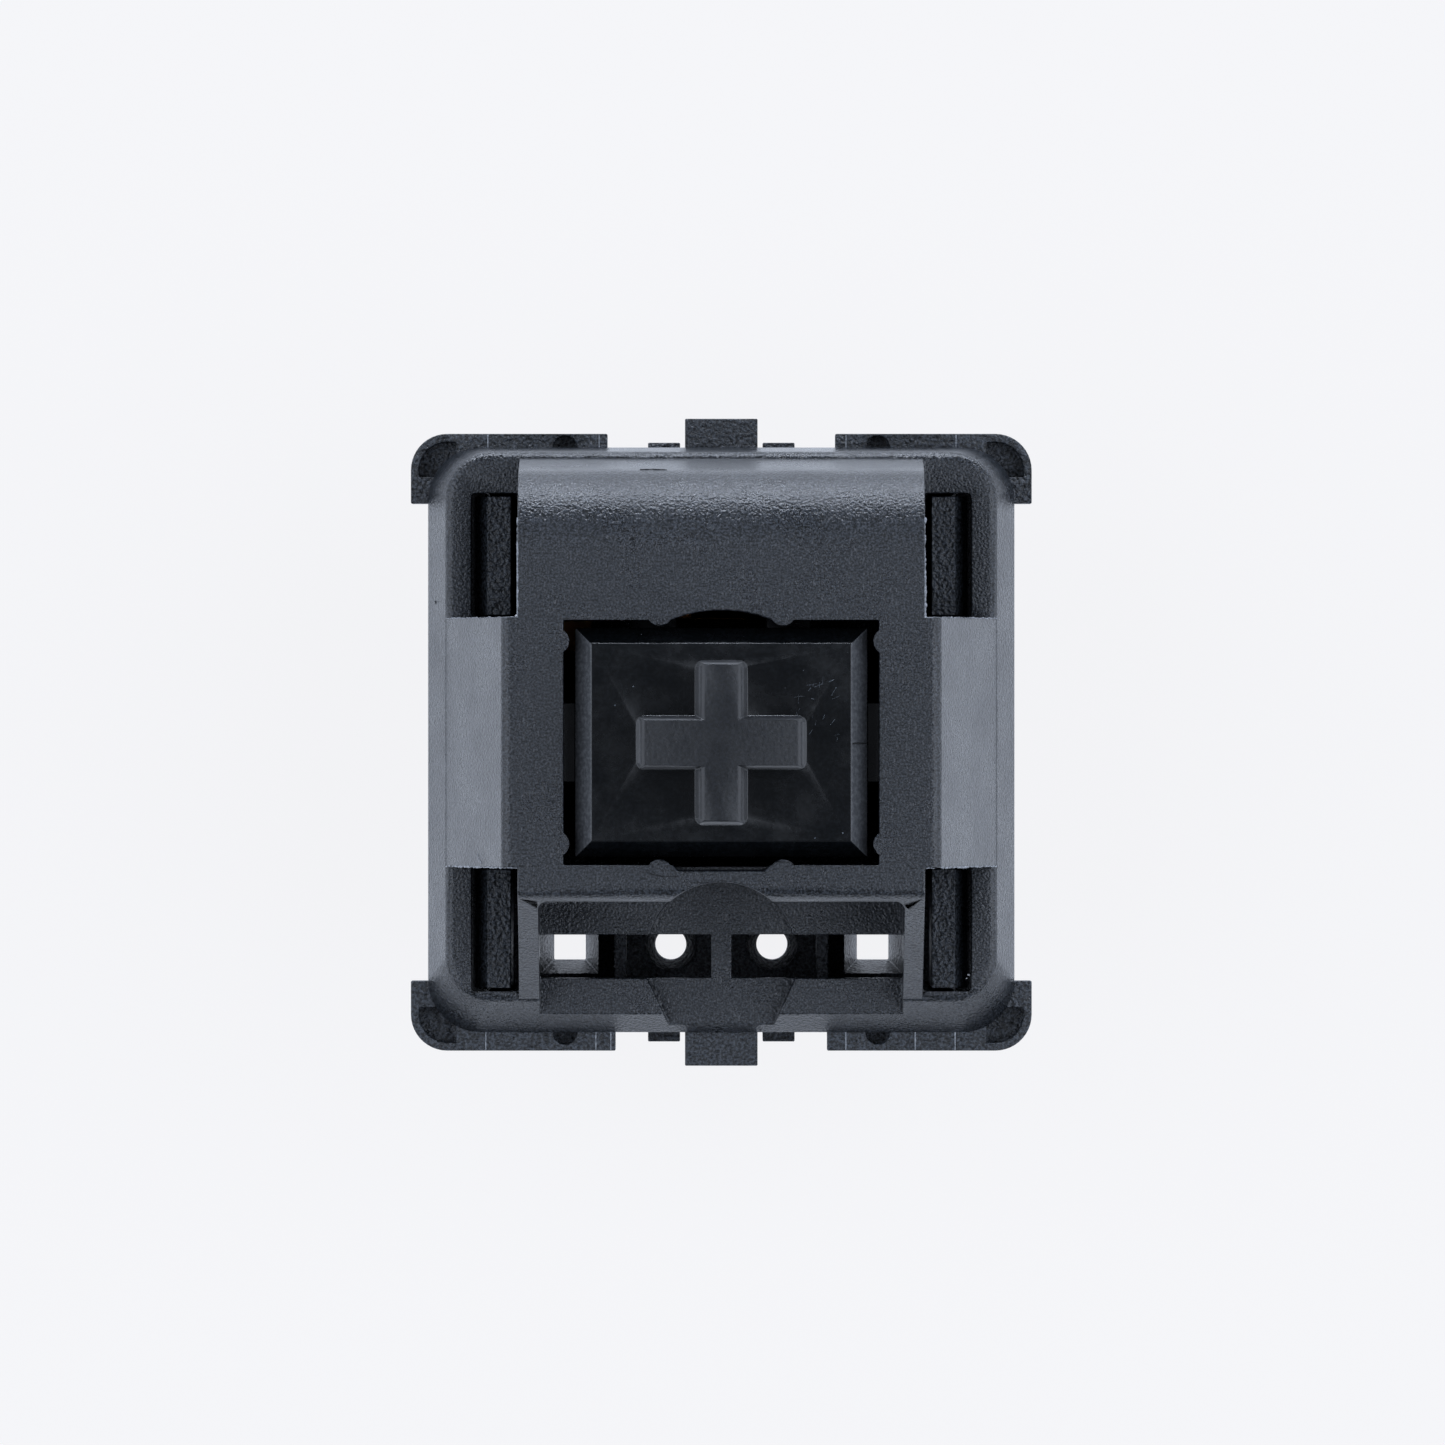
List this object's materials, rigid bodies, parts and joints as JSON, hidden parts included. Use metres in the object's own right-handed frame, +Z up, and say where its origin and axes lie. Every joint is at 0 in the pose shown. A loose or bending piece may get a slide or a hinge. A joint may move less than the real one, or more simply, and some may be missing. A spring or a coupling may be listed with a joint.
{
  "type": "mechanical keyboard switch",
  "caption": "Plate- and board-mounted key switch: two snap-fit housings, a sprung stem with a cross for the keycap, a leaf contact and a window for a lamp.",
  "frame": {"origin": "on the stem's axis, at the plane where the lower housing sits on the circuit board, at the root of the centre post", "axes": "+Z up through the stem towards the keycap; +Y towards the contact side; -Y towards the lamp side; +X to the right with the lamp side nearest"},
  "size_m": [0.0154, 0.016, 0.0185],
  "materials": {
    "lower_nylon": "matte moulded black nylon with a granular spark texture",
    "upper_nylon": "matte moulded black nylon with a fine spark texture",
    "stem_acetal": "satin moulded black acetal",
    "spring_wire": "drawn stainless spring wire",
    "terminal_bronze": "stamped phosphor bronze sheet",
    "leaf_copper": "rolled copper alloy spring sheet",
    "contact_gold": "gold-clad contact wire"
  },
  "bodies": {
    "housing": {"bottom_housing": "lower_nylon", "top_housing": "upper_nylon", "fixed_terminal": "terminal_bronze", "fixed_contact_point": "contact_gold", "leaf_terminal": "terminal_bronze", "return_spring": "spring_wire"},
    "plunger": {"stem": "stem_acetal"},
    "leaf": {"contact_leaf": "leaf_copper", "leaf_contact_point": "contact_gold"}
  },
  "joints": [
    {"name": "stem_slide", "type": "slide", "parent": "housing", "child": "plunger", "axis": [0, 0, -1], "range_m": [0, 0.004], "stiffness_N_per_m": 75, "springref_m": -0.0047, "deforming": ["return_spring"]},
    {"name": "leaf_swing", "type": "hinge", "parent": "housing", "child": "leaf", "pos_m": [0.0041, 0.00531, 0.0042], "axis": [0, 0, 1], "range_deg": [0, 3.9]}
  ],
  "couplings": [
    {"joint": "leaf_swing", "follows": "stem_slide", "rad_per_m": 17}
  ]
}
